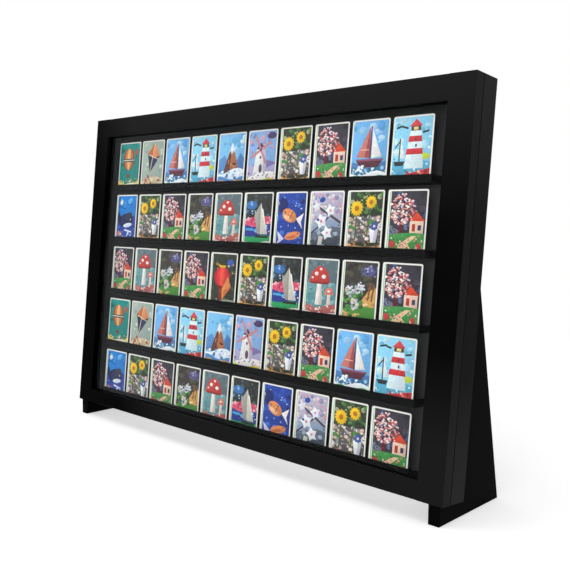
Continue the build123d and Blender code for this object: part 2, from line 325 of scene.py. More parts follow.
def card_material():
    """Printed card stock: bare where it is marked as stock, and elsewhere mottled ink."""
    n = material_nodes("cards")
    ink = n.add("VertexColor", layer_name="ink").outputs["Color"]
    stock = n.add("VertexColor", layer_name="stock").outputs["Color"]
    specks = n.add("TexNoise", Vector=n.place(), Scale=MOTTLE_SPECKS, Detail=5, Roughness=0.7)
    swing = (MOTTLE,) * 3
    weakest = (1 - MOTTLE / 2,) * 3
    tint = n.vector_math("MULTIPLY_ADD", specks.outputs["Color"], swing, weakest)["Vector"]
    printed = n.vector_math("MULTIPLY", ink, tint)["Vector"]
    shader = n.add(
        "BsdfPrincipled",
        Base_Color=n.blend(stock, printed, ink),
        Roughness=n.spread(n.noise(CARD_CLOUDS), CARD_SMOOTHEST, CARD_ROUGHEST),
        Specular_IOR_Level=CARD_GLOSS,
    )
    return n.finish(shader.outputs["BSDF"])


# ---------------------------------------------------------------- floor, background and lamps

FLOOR_SIZE = 12              # from the middle to its edges
FLOOR_DROP = 0.2 * MM        # below the legs' feet
FLOOR_CLOUDS = 3             # features per metre of the floor's mottling
FLOOR_PAINT = (0.80, 0.80, 0.80, 1)
FLOOR_PAINT_LIGHTER = (0.82, 0.82, 0.82, 1)
FLOOR_GLOW = 0.42            # lifts the lit floor to white in the camera's view
FLOOR_SHADED = 0.9           # from the middle to where the floor starts to turn plain white
FLOOR_WHITE = 1.6            # from the middle to where it is
AMBIENT = 0.5                # the white background's strength as a light
LAMP_TARGET = (0, 0, 0.28)   # the middle of the case


def seen_as_background(n):
    """One for rays from the camera, from a mirror or through glass."""
    rays = n.add("LightPath").outputs
    either = n.number_math("MAXIMUM", rays["Is Camera Ray"], rays["Is Glossy Ray"])
    return n.number_math("MAXIMUM", either, rays["Is Transmission Ray"])


def floor_material():
    """A pale table that shows white to the camera and in reflections, and keeps the case's shadow."""
    n = material_nodes("floor")
    paint = n.blend(n.spread(n.noise(FLOOR_CLOUDS), 0, 1), FLOOR_PAINT, FLOOR_PAINT_LIGHTER)
    diffuse = n.add("BsdfDiffuse", Color=paint).outputs["BSDF"]
    glow = n.add("Emission", Strength=FLOOR_GLOW).outputs["Emission"]
    white = n.add("Emission", Strength=1).outputs["Emission"]
    lit = n.fill(n.add("AddShader"), diffuse, glow)["Shader"]
    distance = n.vector_math("LENGTH", n.place())["Value"]
    shown = n.join(n.spread(distance, 0, 1, FLOOR_SHADED, FLOOR_WHITE), lit, white)
    return n.finish(n.join(seen_as_background(n), diffuse, shown))


def make_floor():
    """The table, a hair below the feet, so that no two faces share a plane."""
    bm = bmesh.new()
    bmesh.ops.create_grid(bm, x_segments=1, y_segments=1, size=FLOOR_SIZE)
    floor = add_mesh("floor", bm, floor_material())
    floor.location.z = -FLOOR_DROP


def make_world():
    """White where it is seen, and softer as a light."""
    n = Nodes(bpy.data.worlds.new("studio"), "OutputWorld")
    shown = n.add("Background", Color=(1, 1, 1, 1), Strength=1).outputs["Background"]
    ambient = n.add("Background", Color=(1, 1, 1, 1), Strength=AMBIENT).outputs["Background"]
    bpy.context.scene.world = n.finish(n.join(seen_as_background(n), ambient, shown))


def make_lamp(name, place, size, power, target=LAMP_TARGET):
    """A soft rectangular lamp, its size in metres and its power in watts, turned to its target."""
    data = bpy.data.lights.new(name, "AREA")
    data.shape = "RECTANGLE"
    data.size, data.size_y = size
    data.energy = power
    lamp = add_object(name, data)
    lamp.location = place
    lamp.rotation_mode = "QUATERNION"
    lamp.rotation_quaternion = (Vector(target) - Vector(place)).to_track_quat("-Z", "Y")


def make_lamps():
    """Plain soft studio light."""
    make_lamp("front", place=(1.1, -2.7, 1.0), size=(1.8, 1.4), power=33)
    make_lamp("overhead", place=(-0.5, -0.8, 3.0), size=(2.2, 1.8), power=20)
    make_lamp("rim", place=(0.9, 2.4, 2.0), size=(1.8, 1.0), power=14)
    make_lamp("upper_left", place=(-1.6, -1.9, 1.60), size=(1.8, 0.35), power=12, target=(0, -0.08, 0.5))


# ---------------------------------------------------------------- shapes on the card pictures

# A picture is a list of shapes, the lowest first, each a colour and an outline in millimetres on
# the card: x from its middle, y from its bottom edge.

PICTURE_SIDE = 29.6
PICTURE_LOW = 2.2
PICTURE_HIGH = 86.7
WHOLE = [
    (-PICTURE_SIDE, PICTURE_LOW),
    (PICTURE_SIDE, PICTURE_LOW),
    (PICTURE_SIDE, PICTURE_HIGH),
    (-PICTURE_SIDE, PICTURE_HIGH),
]
SQUARE = ((-1, -1), (1, -1), (1, 1), (-1, 1))
LAND_STEPS = 18              # straight stretches in a skyline
DAB_SIDES = 6
DAB_FLATTEST = 0.4           # the least height, as a share of its width
DAB_LEAN = 30                # the most degrees, either way


def placed(points, x, y, turned):
    """Points about their middle, turned by some degrees and moved to x, y."""
    turn = math.radians(turned)
    return [
        (x + p * math.cos(turn) - q * math.sin(turn), y + p * math.sin(turn) + q * math.cos(turn))
        for p, q in points
    ]


def oval(x, y, width, height, turned=0, sides=22):
    """An oval drawn with straight sides."""
    ring = [2 * math.pi * (i + 0.5) / sides for i in range(sides)]
    return placed([(math.cos(a) * width / 2, math.sin(a) * height / 2) for a in ring], x, y, turned)


def slab(x, y, width, height, turned=0):
    """A rectangle."""
    return placed([(s * width / 2, t * height / 2) for s, t in SQUARE], x, y, turned)


def land(level, swell, waves, start=0.0):
    """The ground from the picture's bottom up to a rolling skyline."""
    skyline = []
    for i in range(LAND_STEPS + 1):
        x = PICTURE_SIDE - 2 * PICTURE_SIDE * i / LAND_STEPS
        skyline.append((x, level + swell * math.sin(start + waves * math.pi * i / LAND_STEPS)))
    return [(-PICTURE_SIDE, PICTURE_LOW), (PICTURE_SIDE, PICTURE_LOW)] + skyline


def petals(x, y, radius, count, depth=0.25):
    """A flower or a star, with notches of a share of its radius between its points."""
    ring = []
    for i in range(count * 2):
        reach = radius if i % 2 else radius * (1 - depth)
        angle = math.pi * i / count
        ring.append((x + reach * math.cos(angle), y + reach * math.sin(angle)))
    return ring


def dab(pick, x, y, least, most):
    """One dab of paint: a flat little oval, leaning either way."""
    width = pick.uniform(least, most)
    height = width * pick.uniform(DAB_FLATTEST, 1.0)
    return oval(x, y, width, height, pick.uniform(-DAB_LEAN, DAB_LEAN), DAB_SIDES)


def dabs(seed, colours, count, low, high, least, most, left=-PICTURE_SIDE, right=PICTURE_SIDE):
    """Scattered dabs in a band between two heights."""
    pick = random.Random(seed)
    scattered = []
    for _ in range(count):
        shape = dab(pick, pick.uniform(left, right), pick.uniform(low, high), least, most)
        scattered.append((pick.choice(colours), shape))
    return scattered


def cluster(seed, colours, count, x, y, radius, least, most):
    """Dabs gathered in a round crown."""
    pick = random.Random(seed)
    gathered = []
    for _ in range(count):
        turn = pick.uniform(0, 2 * math.pi)
        away = radius * math.sqrt(pick.random())
        shape = dab(pick, x + away * math.cos(turn), y + away * math.sin(turn), least, most)
        gathered.append((pick.choice(colours), shape))
    return gathered


# ---------------------------------------------------------------- the fifteen designs

def balloon():
    """A striped balloon over yellow hills."""
    return [
        ("128a83", WHOLE),
        *dabs(31, ["2aa096", "0c6f6b", "3fae9f"], 16, 44, 84, 5, 13),
        ("e9c93a", land(17, 9, 1.0, math.pi)),
        *dabs(32, ["f6e26a", "b98c2c", "efe6cb", "d2a83a"], 26, 8, 20, 2.5, 6),
        ("efe6cb", land(10, 2, 1.6)),
        ("9a5031", oval(-3, 57, 35, 41)),
        ("cf7f47", oval(-3, 57, 24, 41)),
        ("f0bd7e", oval(-3, 57, 9, 41)),
        ("2d4467", slab(-3, 55, 33, 6)),
        ("efe0b4", slab(-3, 55, 33, 1.6)),
        ("5a3a26", [(-13, 40), (-11, 38), (-6, 28), (-7, 28)]),
        ("5a3a26", [(7, 40), (5, 38), (0, 28), (1, 28)]),
        ("7a4426", slab(-3, 25, 9, 7)),
        ("b8563a", oval(20, 70, 9, 11)),
        ("4a3020", slab(20, 62, 2.5, 2.5)),
    ]


def kite():
    """A kite over a sandy shore."""
    return [
        ("a2b2a8", WHOLE),
        *dabs(33, ["b9c6bc", "8f9f98", "c8d0c4"], 18, 30, 84, 5, 12),
        ("cdb893", land(18, 4, 1.4)),
        *dabs(34, ["7d3a2b", "e8dcc0", "a8895e"], 18, 8, 20, 2.5, 6),
        ("e5dcc2", land(9, 2, 2.2, 1.0)),
        ("e28f5c", [(5, 83), (21, 60), (2, 56)]),
        ("c86f40", [(5, 83), (2, 56), (-15, 66)]),
        ("26365e", [(21, 60), (2, 56), (-7, 28)]),
        ("1b2848", [(-15, 66), (2, 56), (-7, 28)]),
        ("f0d2a4", slab(3, 58, 32, 1.6, -18)),
        ("f0d2a4", slab(-1, 56, 1.6, 54, -12)),
        ("c0452f", petals(-11, 22, 5, 4, 0.5)),
        ("c0452f", petals(-17, 15, 5, 4, 0.5)),
        ("c0452f", petals(-20, 8, 4, 4, 0.5)),
    ]


def sailboat():
    """A small boat with two sails among the waves."""
    return [
        ("72b5e8", WHOLE),
        *dabs(35, ["9ccdf0", "b9dcf4", "5fa5de"], 14, 58, 85, 6, 15),
        ("4a79b4", land(28, 3, 1.3, 2.6)),
        ("2c6f9a", land(20, 3, 2.4)),
        ("d57f74", [(0, 79), (2, 34), (-22, 36)]),
        ("a94f52", [(0, 79), (2, 34), (-8, 35)]),
        ("f0b8a4", slab(-8, 46, 14, 1.5)),
        ("f6efe9", [(4, 75), (4, 34), (21, 36)]),
        ("46212f", slab(2, 52, 1.8, 54)),
        ("5b2a3b", [(-23, 33), (25, 33), (16, 21), (-15, 21)]),
        ("8d5065", [(-23, 33), (25, 33), (23, 30), (-21, 30)]),
        *dabs(36, ["eef3f5", "9cc7dd", "1f5a82"], 30, 10, 22, 2.5, 7),
        ("eef3f5", land(13, 3, 2.0)),
        ("2f9160", land(8, 2, 3.0)),
    ]


def lighthouse():
    """A banded lighthouse, with a boat at anchor and birds."""
    return [
        ("8fd2ed", WHOLE),
        *dabs(66, ["b4e2f4", "74bfe0", "d4f0f8"], 18, 34, 85, 5, 14),
        ("c9d63e", oval(18, 33, 22, 9)),
        ("57a9c7", land(25, 2, 2.4)),
        *dabs(37, ["cdeaf4", "3c87a6", "a9dced"], 22, 10, 30, 2.5, 7),
        ("2c3034", [(-28, 27), (-9, 27), (-13, 21), (-25, 21)]),
        ("2c3034", slab(-19, 42, 1.8, 32)),
        ("2c3034", slab(-23, 50, 12, 1.6, 52)),
        ("e6eef0", [(-18, 57), (-18, 31), (-9.5, 31)]),
        ("2c3034", slab(-21, 74, 11, 2.6, 14)),
        ("2c3034", slab(-12, 73, 9, 2.6, -16)),
        ("2c3034", slab(20, 66, 10, 2.6, 12)),
        ("dff2f7", [(-4, 68), (13, 68), (19, 17), (-11, 17)]),
        ("d2343b", [(-5.2, 61), (14, 61), (15.2, 53), (-6.6, 53)]),
        ("d2343b", [(-8, 44), (16.4, 44), (17.6, 36), (-9.4, 36)]),
        ("39404c", slab(5, 57, 2.5, 4)),
        ("39404c", slab(6, 48, 2.5, 4)),
        ("5a3b32", slab(4.5, 71, 15, 6)),
        ("f1d98a", slab(4.5, 71, 7, 4)),
        ("e04a4f", [(-6, 74), (15, 74), (4.5, 84)]),
        ("c83138", land(13, 6, 0.7, 2.4)),
        *dabs(38, ["7c2a2c", "e8b09a", "d2343b"], 16, 5, 16, 3, 6, left=-6),
    ]


def mountain():
    """A snow-capped peak between lower ones."""
    return [
        ("7ec0ea", WHOLE),
        *dabs(39, ["a8d6f1", "c9e6f7", "69b0e2"], 12, 62, 85, 6, 14),
        ("5b8fc7", [(-PICTURE_SIDE, 24), (-PICTURE_SIDE, 44), (-16, 52), (6, 24)]),
        ("4a7ab4", [(4, 24), (20, 55), (PICTURE_SIDE, 46), (PICTURE_SIDE, 24)]),
        ("6a3a28", [(-18, 22), (1, 73), (20, 22)]),
        ("a96a42", [(-3, 22), (1, 73), (20, 22)]),
        *dabs(40, ["8a5236", "4e2c22", "c98d60"], 18, 26, 48, 2.5, 6, left=-11, right=13),
        ("f1f5f8", [(-6, 55), (1, 73), (8, 55), (4, 59), (0, 52), (-2, 59)]),
        ("dfe9f3", land(25, 5, 1.5, 0.4)),
        *dabs(41, ["ffffff", "9fb9d6", "3f6ea8"], 22, 12, 27, 3, 7),
        ("4d86c4", land(14, 3, 2.0, 2.0)),
        ("e2a53a", land(8, 2.5, 3.0)),
        *dabs(42, ["b5702a", "f1cd6a"], 12, 5, 10, 3, 6),
    ]


def windmill():
    """A white windmill among violet hills."""
    blades = []
    for turn in (0.5, 2.07, 3.64, 5.21):
        x = 13 * math.cos(turn) - 3
        y = 57 + 13 * math.sin(turn)
        blades.append(("c98a8c", slab(x, y, 25, 4.5, math.degrees(turn))))
    return [
        ("86aedd", WHOLE),
        ("4d3a63", oval(19, 79, 20, 11)),
        *dabs(43, ["a79cc8", "c3b8da", "7c92c6", "d9a5b4"], 24, 46, 84, 5, 12),
        ("7c6fa6", land(36, 4, 1.5)),
        ("a8a2c4", land(29, 4, 2.2, 1.5)),
        ("e6e5e3", [(-12, 58), (6, 58), (13, 18), (-18, 18)]),
        ("b9b2c4", [(1, 58), (6, 58), (13, 18), (4, 18)]),
        ("4a2f50", [(-13, 58), (7, 58), (-3, 69)]),
        ("5b3a55", oval(-2, 27, 7, 14)),
        ("5b3a55", oval(-3, 45, 4, 5)),
        *blades,
        ("4a2f50", oval(-3, 57, 4, 4)),
        ("e6e3dc", land(18, 4, 1.2, 0.6)),
        *dabs(44, ["8f86ae", "d9b0b4", "6c5f7e"], 16, 11, 20, 3, 6),
        ("c8c334", land(9, 2.5, 2.4)),
    ]


def sunflowers():
    """Two sunflowers over stony ground, beside a jug with a blue flower."""
    stones = ["e2d9d0", "9a929a", "d9b4a2", "54505a", "f0e8dc", "c9bab0", "b09a88"]
    return [
        ("2f3727", WHOLE),
        *dabs(12, ["6d7d58", "4f8a3d", "3a4630", "a8ae86", "3c6b2f"], 64, 57, 85, 4, 9),
        ("5d5a5a", [(-PICTURE_SIDE, 12), (PICTURE_SIDE, 20), (PICTURE_SIDE, 54), (-PICTURE_SIDE, 47)]),
        *dabs(11, stones, 130, 18, 51, 3, 8),
        ("3c6b2f", slab(-14, 40, 2.3, 44)),
        ("3c6b2f", slab(8, 46, 2.2, 46, -5)),
        ("4f8a3d", oval(-20, 36, 12, 5, -25)),
        ("4f8a3d", oval(13, 44, 11, 5, 25)),
        ("f4c622", petals(-14, 63, 12, 14)),
        ("b9781c", oval(-14, 63, 8, 8)),
        ("f4c622", petals(10, 72, 10, 12)),
        ("b9781c", oval(10, 72, 7, 7)),
        ("d9a869", land(15, 6, 0.8, 3.6)),
        *dabs(13, ["f0cd9a", "a97a48", "5a4a2c", "8f5f34"], 26, 4, 17, 2.5, 6),
        ("eceef0", [(10, 34), (25, 34), (22, 15), (13, 15)]),
        ("c3c6cc", [(18, 34), (25, 34), (22, 15), (18, 15)]),
        ("3056a8", petals(18, 38, 7, 7, 0.3)),
        ("e6dccb", oval(18, 38, 4, 4)),
    ]


def blossom():
    """A tree in blossom beside a little house with a path."""
    petalled = ["eeb4ae", "f7ece7", "a33840", "f4cdc2", "3b3350", "d9645e", "f7ece7", "c98d8c"]
    return [
        ("34313c", WHOLE),
        *dabs(4, ["47527c", "6a6f92", "24222a", "4a3a44"], 38, 34, 85, 5, 11),
        ("6a6f82", [(-PICTURE_SIDE, 22), (-PICTURE_SIDE, 40), (-12, 34), (0, 22)]),
        *dabs(10, ["8f94a6", "4a4e5e"], 14, 22, 36, 3, 6, right=-10),
        ("dc4a2c", [(3, 46), (16, 58), (PICTURE_SIDE, 46)]),
        ("e8c9b2", [(6, 46), (27, 46), (27, 26), (6, 26)]),
        ("b8341f", slab(12, 37, 5, 10)),
        ("3b3350", slab(21, 37, 5, 7)),
        ("6a1420", [(-12, 22), (-5, 22), (-7, 48), (-10, 48)]),
        *cluster(5, petalled, 230, -7, 62, 21, 2.4, 5),
        ("3f8f47", land(26, 4, 0.7, 0.8)),
        *dabs(7, ["2c6e35", "62ab58", "8a8f5a"], 30, 10, 27, 3, 7),
        ("e2c29a", [(10, 26), (18, 26), (4, 15), (16, PICTURE_LOW), (-16, PICTURE_LOW), (-8, 15)]),
        *dabs(8, ["a98660", "f2dfc2", "6c5340"], 10, 4, 14, 2.2, 5, left=-10, right=10),
        ("c13a44", petals(-20, 14, 6, 7, 0.3)),
        ("c13a44", petals(21, 12, 5, 7, 0.3)),
        *dabs(9, ["f4ece8", "eeb4ae", "d9645e"], 30, 5, 24, 2, 3.6),
    ]


def whale():
    """A whale at the surface under a pale moon."""
    return [
        ("1f7fd0", WHOLE),
        *dabs(45, ["3f97e2", "66b3ec", "1a6cba"], 18, 56, 85, 5, 13),
        ("f3f1e8", oval(-16, 74, 9, 9)),
        ("2747a4", land(46, 5, 1.0, 0.2)),
        *dabs(46, ["3e63c4", "1c3584", "5b80d8"], 28, 6, 46, 4, 9),
        ("182452", oval(1, 40, 44, 27, 8)),
        ("2b3042", oval(8, 48, 22, 14, 22)),
        ("182452", [(-12, 38), (-24, 60), (-27, 46), (-29, 44), (-20, 34)]),
        ("dfe7f2", oval(6, 31, 26, 8, 8)),
        ("f5f6f8", oval(14, 42, 2.4, 2.4)),
        ("2747a4", land(20, 4, 2.0)),
        ("e6edf5", slab(8, 20, 22, 3, -10)),
        ("d98a63", petals(-19, 14, 8, 5, 0.5)),
        *dabs(47, ["d9e6f4", "7f9fe0"], 12, 5, 17, 2.5, 6),
    ]


def goldfish():
    """Two fish in deep blue water."""
    return [
        ("25429c", WHOLE),
        *dabs(48, ["3157b8", "1b2b6c", "4a74d0"], 44, 5, 85, 5, 12),
        ("1b2b6c", oval(-17, 68, 22, 24)),
        ("e08c50", oval(-2, 52, 30, 20, -24)),
        ("f4c296", oval(-5, 48, 18, 7, -24)),
        ("a95a30", slab(2, 53, 2, 15, -24)),
        ("1c1f2c", oval(-11, 57, 3, 3)),
        ("efe8e2", [(12, 47), (27, 56), (22, 42), (26, 31)]),
        ("e28f58", oval(7, 21, 32, 12, 12)),
        ("c4663a", oval(5, 19, 20, 4, 12)),
        ("1c1f2c", oval(17, 25, 2.4, 2.4)),
        ("dcd3e6", [(-10, 16), (-25, 28), (-21, 14), (-26, 6)]),
        *dabs(49, ["f0f4fa", "9db8ea"], 16, 30, 84, 1.8, 3.4),
        ("1a2558", land(7, 2, 3.0)),
    ]


def hydrangea():
    """Pale flower heads in a dark garden, with a gate."""
    return [
        ("383632", WHOLE),
        *dabs(50, ["4a4740", "2a2926", "55503f"], 34, 34, 84, 5, 12),
        ("5d5d8f", oval(15, 74, 26, 14)),
        *dabs(51, ["8c8cb4", "c9c4d4", "3c3c60"], 16, 67, 82, 3, 6, left=4),
        ("d8a660", [(-2, 22), (16, 46), (PICTURE_SIDE, 52), (PICTURE_SIDE, PICTURE_LOW), (-2, PICTURE_LOW)]),
        *dabs(53, ["8a6c3c", "f0d4a0", "b98446"], 22, 6, 44, 2.5, 7, left=10),
        ("4c8a39", land(20, 4, 0.8, 1.0)),
        *cluster(52, ["6aa352", "2f5f26", "4c8a39"], 50, -9, 34, 19, 4, 9),
        *cluster(54, ["c9ccd2", "e6e8ea", "a3a7b0", "e3b08a", "d9dce2"], 34, -16, 44, 8, 3, 6),
        *cluster(67, ["c9ccd2", "e6e8ea", "a3a7b0", "d9dce2"], 34, 1, 50, 8, 3, 6),
        *cluster(68, ["c9ccd2", "e6e8ea", "a3a7b0", "e3b08a", "d9dce2"], 30, -7, 27, 7.5, 3, 6),
        ("7d5234", slab(18, 46, 2.6, 26, -8)),
        ("7d5234", slab(24, 44, 2.6, 24, -8)),
        ("7d5234", slab(21, 50, 12, 2.2, -8)),
        *dabs(69, ["e3b878", "2f4a26", "6aa352"], 16, 4, 16, 3, 6, right=8),
        ("e0a070", petals(-20, 11, 5, 5, 0.4)),
    ]


def mushrooms():
    """A large and a small mushroom in the mist."""
    return [
        ("5f6f75", WHOLE),
        *dabs(55, ["6c7e84", "52626a", "76898c"], 26, 52, 85, 5, 11),
        ("6b989c", land(52, 2, 1.0)),
        ("5a8f93", land(40, 3, 1.6)),
        *dabs(56, ["79a8aa", "4b7c82", "8fb4b2"], 30, 16, 52, 4, 9),
        ("efe8e2", [(-9, 20), (5, 20), (1, 58), (-6, 58)]),
        ("cfc4be", [(-1, 20), (5, 20), (1, 58), (-1, 58)]),
        ("c8423b", [(-22, 54), (17, 54), (13, 67), (6, 75), (-2, 78), (-10, 75), (-18, 67)]),
        ("8f2b2b", [(-22, 54), (17, 54), (13, 51), (-18, 51)]),
        ("f4ece8", oval(-9, 66, 7, 6)),
        ("f4ece8", oval(5, 62, 8, 6)),
        ("f4ece8", oval(-1, 73, 5, 4)),
        ("f4ece8", oval(-16, 60, 4, 3)),
        ("e3cfc6", [(13, 20), (20, 20), (19, 38), (14, 38)]),
        ("d97f70", [(7, 36), (26, 36), (21, 46), (12, 46)]),
        ("f4ece8", oval(16, 41, 5, 3)),
        ("b0605a", land(19, 3, 2.0, 1.0)),
        *dabs(57, ["d99a92", "8a4a48", "e8ddd6"], 26, 8, 21, 2.5, 6),
        ("ded6d0", land(8, 2, 2.4, 1.0)),
    ]


def dusk():
    """A pale sail off a bright shore at dusk."""
    return [
        ("2b2f2d", WHOLE),
        *dabs(58, ["3a403c", "20231f", "4a5a62"], 24, 50, 84, 5, 11),
        ("3f78bb", oval(-14, 68, 24, 14)),
        *dabs(59, ["93b6d8", "c9d9e6", "2b5a96"], 20, 54, 74, 3, 6, right=-2),
        ("d6506f", land(48, 3, 1.2, 0.3)),
        *dabs(60, ["e88ba0", "b03a58", "f0b8c2"], 22, 38, 49, 3, 7),
        ("27388a", land(36, 3, 1.6, 1.8)),
        ("4f9fd6", slab(-6, 29, 36, 4)),
        *dabs(61, ["d9e8f2", "1c2860", "6fb4e0"], 18, 22, 35, 3, 6),
        ("2a9a5a", land(19, 2, 2.0)),
        ("dad7cc", [(24, 22), (6, 72), (-7, 52), (2, 22)]),
        ("a9a59a", [(6, 72), (-7, 52), (2, 22), (8, 22)]),
        ("f0ede4", slab(15, 46, 2, 34, 16)),
        ("1d2320", slab(11, 18, 28, 4)),
        ("dcd9ce", land(9, 2, 2.0, 1.0)),
        *dabs(62, ["8f8c80", "2a9a5a"], 12, 5, 11, 2.5, 5),
    ]


def cherry_branch():
    """Two branches with large white blossoms."""
    return [
        ("b7b4c6", WHOLE),
        *dabs(21, ["d794ac", "c9b3c8", "a5a4bd", "e4c9d3", "8f93b2", "ecd9e0"], 60, 46, 85, 4, 9),
        ("8e9fb8", land(42, 5, 1.2)),
        ("5b6675", land(32, 4, 1.5, 0.6)),
        ("3f4753", land(20, 3, 1.5, 0.6)),
        *dabs(22, ["6d7888", "2b313b", "a9b4c4"], 26, 6, 40, 3, 8),
        ("4b4450", slab(2, 56, 58, 3.6, -28)),
        ("4b4450", slab(-10, 38, 40, 2.8, 38)),
        ("f3f4f7", petals(8, 60, 10, 5, 0.4)),
        ("f3f4f7", petals(-8, 44, 12, 5, 0.4)),
        ("f3f4f7", petals(4, 27, 11, 5, 0.4)),
        ("eceaf2", petals(-18, 66, 8, 5, 0.4)),
        ("d98fa8", oval(8, 60, 4, 4)),
        ("d98fa8", oval(-8, 44, 5, 5)),
        ("d98fa8", oval(4, 27, 4, 4)),
        ("2b50a2", oval(-8, 76, 11, 8, 20)),
        ("2b50a2", oval(-14, 46, 5, 4)),
        ("c9c4bb", slab(-8, 13, 8, 18, -10)),
    ]


def lantern():
    """A paper lantern with tassels."""
    return [
        ("2f3529", WHOLE),
        *dabs(63, ["3d4535", "232820", "4d5540"], 34, 10, 84, 4, 10),
        ("3a56a3", oval(16, 72, 16, 13)),
        *dabs(64, ["e6b42b", "c9922a", "f2d06a"], 16, 54, 70, 3, 6),
        ("b4222f", oval(-2, 48, 38, 34)),
        ("d92f3d", oval(-2, 48, 27, 34)),
        ("ee5540", oval(-2, 48, 12, 34)),
        ("7c1822", slab(-2, 31, 16, 4)),
        ("e6b42b", slab(-2, 66, 15, 4)),
        ("4a3a22", slab(-2, 74, 1.6, 14)),
        ("dd8850", [(20, 32), (12, 50), (-4, 24), (0, 10)]),
        ("c8693c", [(20, 32), (-4, 24), (0, 10)]),
        ("a5222d", slab(-6, 20, 2.4, 18)),
        ("a5222d", slab(-2, 19, 2.4, 20)),
        ("e6b42b", slab(2, 20, 1.6, 18)),
        ("dedbd2", land(9, 2, 2.0)),
        *dabs(65, ["4f8a4a", "a8a498"], 14, 5, 12, 3, 6),
    ]


# The cards' order on the ledges, from the top one down.
UPPER_ROW = [
    balloon, kite, sailboat, lighthouse, mountain, windmill, sunflowers, blossom, sailboat, lighthouse,
]
SECOND_ROW = [
    whale, sunflowers, blossom, hydrangea, mushrooms, dusk, goldfish, cherry_branch, sunflowers, blossom,
]
MIDDLE_ROW = [
    blossom, mushrooms, hydrangea, blossom, lantern, sunflowers, dusk, mushrooms, hydrangea, blossom,
]
ROWS = [UPPER_ROW, SECOND_ROW, MIDDLE_ROW, UPPER_ROW, SECOND_ROW]

# ---------------------------------------------------------------- cards

WHITE = "f9f6ed"
CARD_BACK = "d9d3c4"
CARD_CORNER_STEPS = 5
PICTURE_CORNER = 1.2
PICTURE_CORNER_STEPS = 2
PRINT_SHADING = 0.5          # how much darker a shape's lower right is than its upper left
LEAST_SPAN = 0.001           # keeps a share of a shape's width or height finite

# These designs have a white margin at the left, with a thin green stripe in it.
STRIPED = {sunflowers, blossom, whale, goldfish, hydrangea, mushrooms, dusk, cherry_branch, lantern}
MARGIN = 3.2
STRIPE_MIDDLE = 1.4
STRIPE_WIDTH = 1.6
STRIPE = [
    (WHITE, slab(-PICTURE_SIDE + MARGIN / 2, CARD_HEIGHT / 2, MARGIN, CARD_HEIGHT)),
    ("a9cfae", slab(-PICTURE_SIDE + STRIPE_MIDDLE, CARD_HEIGHT / 2, STRIPE_WIDTH, CARD_HEIGHT)),
]

# The outlines that a card's front is cut by, in order: its edge, its picture's, then the shapes'.
EDGE = 0
WINDOW = 1
FIRST_SHAPE = 2

INSIDE_ONLY = 1              # the triangulation's mode that fills the outlines
CUT_PRECISION = 1e-4         # millimetres
WELD = 0.001 * MM


def rounded(side, low, high, radius, steps):
    """A rectangle about the middle with rounded corners, anticlockwise from its upper right."""
    ring = []
    upper = high - radius
    lower = low + radius
    for hand, y, start in ((1, upper, 0), (-1, upper, 90), (-1, lower, 180), (1, lower, 270)):
        x = hand * (side - radius)
        for i in range(steps + 1):
            angle = math.radians(start + 90 * i / steps)
            ring.append((x + radius * math.cos(angle), y + radius * math.sin(angle)))
    return ring


def held_inside(outline):
    """The outline drawn in to the picture's edges, anticlockwise."""
    inside = [
        (max(-PICTURE_SIDE, min(PICTURE_SIDE, x)), max(PICTURE_LOW, min(PICTURE_HIGH, y)))
        for x, y in outline
    ]
    turns = sum(a[0] * b[1] - b[0] * a[1] for a, b in zip(inside, inside[1:] + inside[:1]))
    return inside if turns > 0 else inside[::-1]


def shaded(colour, outline, point):
    """The colour at a point of a shape that is lit from its upper left."""
    xs = [x for x, _ in outline]
    ys = [y for _, y in outline]
    across = (point[0] - min(xs)) / (max(xs) - min(xs) + LEAST_SPAN)
    up = (point[1] - min(ys)) / (max(ys) - min(ys) + LEAST_SPAN)
    light = 1 + PRINT_SHADING * (up - across) / 2
    return tuple(min(1.0, channel * light) for channel in colour[:3]) + (1.0,)


def picture_faces(design):
    """A card's front cut into flat faces: its points, its faces and its edge.

    A face is its corners, a colour for each of them, and whether it is bare stock.
    """
    edge = rounded(CARD_WIDTH / 2, 0, CARD_HEIGHT, CARD_CORNER, CARD_CORNER_STEPS)
    window = rounded(PICTURE_SIDE, PICTURE_LOW, PICTURE_HIGH, PICTURE_CORNER, PICTURE_CORNER_STEPS)
    shapes = design() + (STRIPE if design in STRIPED else [])
    outlines = [edge, window] + [held_inside(outline) for _, outline in shapes]
    points, loops = [], []
    for outline in outlines:
        loops.append(list(range(len(points), len(points) + len(outline))))
        points.extend(Vector(p) for p in outline)
    found, _, faces, _, _, sources = delaunay_2d_cdt(points, [], loops, INSIDE_ONLY, CUT_PRECISION, True)
    cut = []
    for corners, source in zip(faces, sources):
        top = max(source) if WINDOW in source else EDGE
        code = WHITE if top < FIRST_SHAPE else shapes[top - FIRST_SHAPE][0]
        if code == WHITE:
            colours = [linear(WHITE)] * len(corners)
        else:
            colours = [shaded(linear(code), outlines[top], found[i]) for i in corners]
        cut.append((corners, colours, code == WHITE))
    return found, cut, edge


def add_card(bm, ink, stock, design, u, floor):
    """One printed card with its edges and its back."""
    found, cut, edge = picture_faces(design)

    def vertices(points, w):
        return [bm.verts.new(at(u + x, floor + y, w)) for x, y in points]

    front = vertices(found, CARD_FRONT)
    near = vertices(edge, CARD_FRONT)
    far = vertices(edge, CARD_FRONT + CARD_THICKNESS)
    made = []
    for corners, colours, bare in cut:
        made.append((bm.faces.new([front[i] for i in corners]), colours, bare))
    for i, j in round_trip(len(edge)):
        side = bm.faces.new((near[j], near[i], far[i], far[j]))
        made.append((side, [linear(WHITE)] * 4, True))
    back = bm.faces.new(reversed(far))
    made.append((back, [linear(CARD_BACK)] * len(edge), True))
    for face, colours, bare in made:
        for loop, colour in zip(face.loops, colours):
            loop[ink] = colour
            loop[stock] = (1, 1, 1, 1) if bare else (0, 0, 0, 1)


